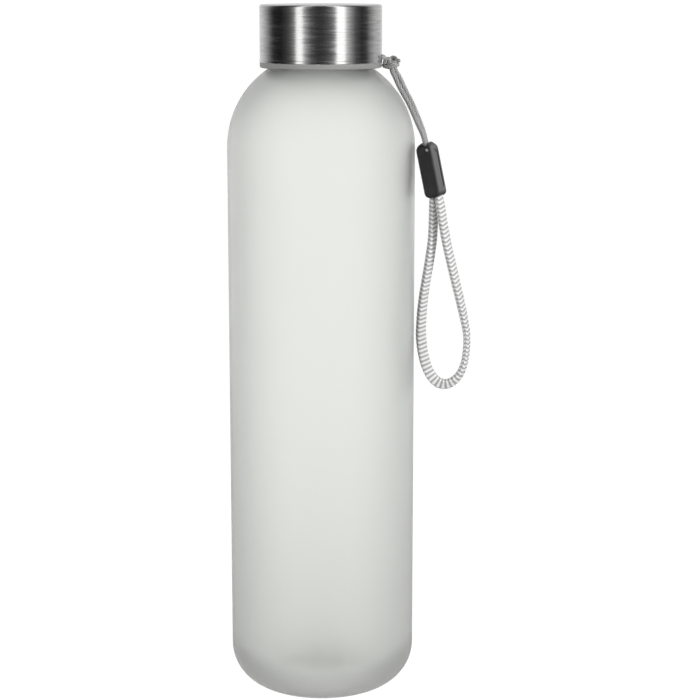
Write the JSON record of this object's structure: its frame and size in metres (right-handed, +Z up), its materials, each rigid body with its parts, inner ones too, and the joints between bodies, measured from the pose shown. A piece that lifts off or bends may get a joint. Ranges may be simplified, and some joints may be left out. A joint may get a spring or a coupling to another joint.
{
  "type": "glass water bottle",
  "caption": "Frosted glass water bottle with a brushed steel screw cap and a knitted carry loop on a thin cord.",
  "frame": {"origin": "middle of the base, on the surface that the bottle stands on", "axes": "+Z up along the bottle's axis; the strap hangs on the +X side; the picture looks along +Y"},
  "size_m": [0.085, 0.065, 0.2421],
  "materials": {
    "glass": "acid-frosted outside",
    "steel": "brushed round the cap",
    "insert": "translucent polypropylene",
    "gasket": "matt silicone",
    "cord": "fine round braid",
    "toggle": "satin moulded",
    "webbing": "ribbed knit"
  },
  "bodies": {
    "bottle": {"glass_bottle": "glass"},
    "seal": {"cap_gasket": "gasket"},
    "cap": {"cap_insert": "insert", "cap_shell": "steel", "cord_bight": "cord"},
    "hitch": {"cord_knot": "cord"},
    "strap": {"cord_strand_front": "cord", "cord_strand_rear": "cord", "toggle_front": "toggle", "toggle_back": "toggle", "webbing_loop": "webbing"}
  },
  "joints": [
    {"name": "cap_rise", "type": "slide", "parent": "bottle", "child": "seal", "axis": [0, 0, 1], "range_m": [0, 0.0189]},
    {"name": "cap_turn", "type": "hinge", "parent": "seal", "child": "cap", "pos_m": [0, 0, 0.24], "axis": [0, 0, 1], "range_deg": [0, 1620]},
    {"name": "strap_sway", "type": "hinge", "parent": "cap", "child": "hitch", "pos_m": [0.0246, 0, 0.2222], "axis": [1, 0, 0], "range_deg": [-60, 60]},
    {"name": "strap_swing", "type": "hinge", "parent": "hitch", "child": "strap", "pos_m": [0.0246, 0, 0.2222], "axis": [0, -1, 0], "range_deg": [0, 150]}
  ],
  "couplings": [
    {"joint": "cap_rise", "follows": "cap_turn", "m_per_rad": 0.00066845}
  ]
}
